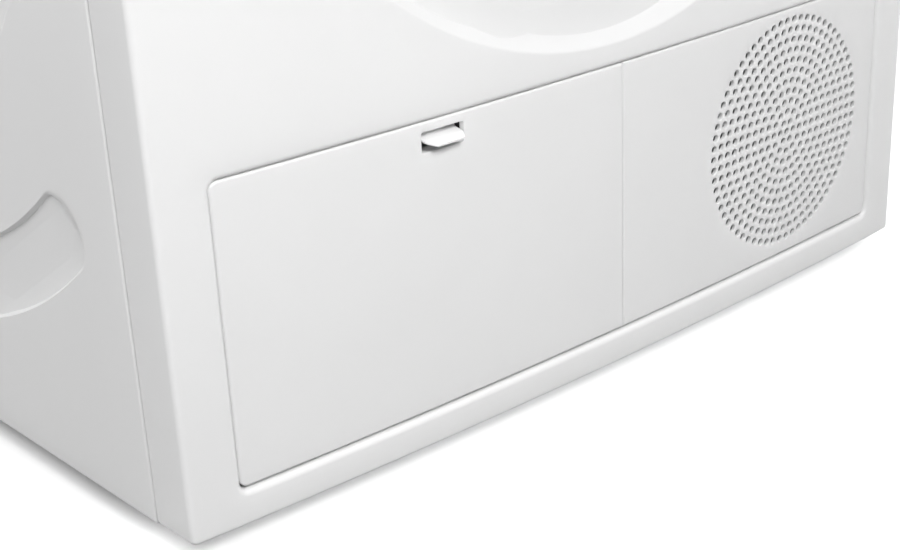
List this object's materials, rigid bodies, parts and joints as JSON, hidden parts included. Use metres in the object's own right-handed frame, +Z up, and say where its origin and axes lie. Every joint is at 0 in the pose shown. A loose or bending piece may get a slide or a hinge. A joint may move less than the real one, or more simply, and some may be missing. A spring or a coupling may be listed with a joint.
{
  "type": "clothes dryer",
  "caption": "Free-standing front-loading condenser tumble dryer with bowed front, porthole door, fold-down service flap, round intake grille and pull-out water tank.",
  "frame": {"origin": "on the floor, under the middle of the machine's box", "axes": "+Z up, the door faces -Y, +X to the right of someone facing the door's back"},
  "size_m": [0.597, 0.622, 0.846],
  "materials": {
    "white_paint": "satin powder coat",
    "white_plastic": "smooth moulded",
    "control_plastic": "smooth moulded",
    "galvanised_sheet": "zinc coated",
    "drum_steel": "brushed stainless",
    "grey_plastic": "moulded",
    "tank_plastic": "translucent moulded",
    "rubber": "matt",
    "felt": "pressed felt",
    "smoked_glass": "smoked",
    "display": "tinted",
    "aluminium": "cast and rolled",
    "machined_steel": "zinc plated",
    "bronze": "sintered",
    "heater_sheath": "heat tinted",
    "circuit": "laminate"
  },
  "bodies": {
    "cabinet": {"front_panel": "white_paint", "left_side_panel": "white_paint", "right_side_panel": "white_paint", "rear_panel": "galvanised_sheet", "rear_duct_cover": "galvanised_sheet", "cabinet_screws": "machined_steel", "top_cover": "white_plastic", "control_panel": "white_plastic", "display_window": "display", "control_board": "circuit", "base_tray": "grey_plastic", "intake_grille": "white_plastic", "door_hinge_bracket": "machined_steel", "door_catch": "grey_plastic", "door_seal": "rubber", "front_bulkhead": "galvanised_sheet", "drum_felt_seal": "felt", "rear_bearing": "bronze", "rear_bulkhead": "galvanised_sheet", "roller_axles": "machined_steel", "drum_belt": "rubber", "motor_casing": "aluminium", "cooling_fan_shroud": "grey_plastic", "heater_element": "heater_sheath", "heat_exchanger": "aluminium", "condensate_pump": "grey_plastic", "tank_housing": "grey_plastic", "terminal_cover": "grey_plastic", "drain_spigot": "grey_plastic"},
    "door": {"door_ring": "white_plastic", "door_inner_ring": "white_plastic", "door_glass": "smoked_glass", "door_hinge_leaf": "machined_steel", "door_hook": "machined_steel"},
    "flap": {"service_flap": "white_plastic"},
    "latch": {"flap_latch": "white_plastic"},
    "tank": {"water_tank": "tank_plastic", "tank_front": "white_plastic"},
    "knob": {"programme_knob": "control_plastic"},
    "start": {"start_button": "control_plastic"},
    "option_1": {"option_button_1": "control_plastic"},
    "option_2": {"option_button_2": "control_plastic"},
    "option_3": {"option_button_3": "control_plastic"},
    "drum": {"drum_shell": "drum_steel", "drum_rear_wall": "drum_steel", "drum_lifters": "grey_plastic", "drum_shaft": "machined_steel"},
    "rotor": {"motor_shaft": "machined_steel", "motor_pulley": "machined_steel", "cooling_impeller": "grey_plastic", "process_impeller": "grey_plastic"},
    "roller_left": {"support_roller_left": "rubber"},
    "roller_right": {"support_roller_right": "rubber"},
    "filter": {"lint_filter": "grey_plastic"},
    "lever_left": {"exchanger_lever_left": "grey_plastic"},
    "lever_right": {"exchanger_lever_right": "grey_plastic"},
    "foot_fl": {"foot_front_left": "rubber"},
    "foot_fr": {"foot_front_right": "rubber"},
    "foot_rl": {"foot_rear_left": "rubber"},
    "foot_rr": {"foot_rear_right": "rubber"}
  },
  "joints": [
    {"name": "door_hinge", "type": "hinge", "parent": "cabinet", "child": "door", "pos_m": [0.223, -0.296, 0.4775], "axis": [0, 0, 1], "range_deg": [0, 160]},
    {"name": "flap_hinge", "type": "hinge", "parent": "cabinet", "child": "flap", "pos_m": [-0.2664, -0.27183, 0.0423], "axis": [0.9996, -0.0272, 0], "range_deg": [0, 90]},
    {"name": "latch_tilt", "type": "hinge", "parent": "flap", "child": "latch", "pos_m": [-0.125, -0.2743, 0.1938], "axis": [1, 0, 0], "range_deg": [-15, 0], "stiffness_Nm_per_rad": 0.02},
    {"name": "tank_slide", "type": "slide", "parent": "cabinet", "child": "tank", "axis": [0, -1, 0], "range_m": [0, 0.505]},
    {"name": "knob_turn", "type": "hinge", "parent": "cabinet", "child": "knob", "pos_m": [0, -0.29, 0.783], "axis": [0, -1, 0], "continuous": true},
    {"name": "start_press", "type": "slide", "parent": "cabinet", "child": "start", "axis": [0, 1, 0], "range_m": [0, 0.0015], "stiffness_N_per_m": 600},
    {"name": "option_1_press", "type": "slide", "parent": "cabinet", "child": "option_1", "axis": [0, 1, 0], "range_m": [0, 0.0015], "stiffness_N_per_m": 400},
    {"name": "option_2_press", "type": "slide", "parent": "cabinet", "child": "option_2", "axis": [0, 1, 0], "range_m": [0, 0.0015], "stiffness_N_per_m": 400},
    {"name": "option_3_press", "type": "slide", "parent": "cabinet", "child": "option_3", "axis": [0, 1, 0], "range_m": [0, 0.0015], "stiffness_N_per_m": 400},
    {"name": "drum_turn", "type": "hinge", "parent": "cabinet", "child": "drum", "pos_m": [0, 0, 0.4775], "axis": [0, 1, 0], "continuous": true},
    {"name": "rotor_turn", "type": "hinge", "parent": "cabinet", "child": "rotor", "pos_m": [0.1672, 0, 0.1208], "axis": [0, 1, 0], "continuous": true},
    {"name": "roller_left_turn", "type": "hinge", "parent": "cabinet", "child": "roller_left", "pos_m": [-0.17457, -0.196, 0.22819], "axis": [0, 1, 0], "continuous": true},
    {"name": "roller_right_turn", "type": "hinge", "parent": "cabinet", "child": "roller_right", "pos_m": [0.17457, -0.196, 0.22819], "axis": [0, 1, 0], "continuous": true},
    {"name": "filter_lift", "type": "slide", "parent": "cabinet", "child": "filter", "axis": [0, 0, 1], "range_m": [0, 0.1]},
    {"name": "lever_left_turn", "type": "hinge", "parent": "cabinet", "child": "lever_left", "pos_m": [-0.24, -0.25, 0.165], "axis": [0, 1, 0], "range_deg": [-90, 0]},
    {"name": "lever_right_turn", "type": "hinge", "parent": "cabinet", "child": "lever_right", "pos_m": [-0.026, -0.25, 0.165], "axis": [0, 1, 0], "range_deg": [0, 90]},
    {"name": "foot_fl_screw", "type": "slide", "parent": "cabinet", "child": "foot_fl", "axis": [0, 0, -1], "range_m": [0, 0.012]},
    {"name": "foot_fr_screw", "type": "slide", "parent": "cabinet", "child": "foot_fr", "axis": [0, 0, -1], "range_m": [0, 0.012]},
    {"name": "foot_rl_screw", "type": "slide", "parent": "cabinet", "child": "foot_rl", "axis": [0, 0, -1], "range_m": [0, 0.012]},
    {"name": "foot_rr_screw", "type": "slide", "parent": "cabinet", "child": "foot_rr", "axis": [0, 0, -1], "range_m": [0, 0.012]}
  ],
  "couplings": [
    {"joint": "rotor_turn", "follows": "drum_turn", "ratio": 20.281},
    {"joint": "roller_left_turn", "follows": "drum_turn", "ratio": -11.667},
    {"joint": "roller_right_turn", "follows": "drum_turn", "ratio": -11.667}
  ]
}
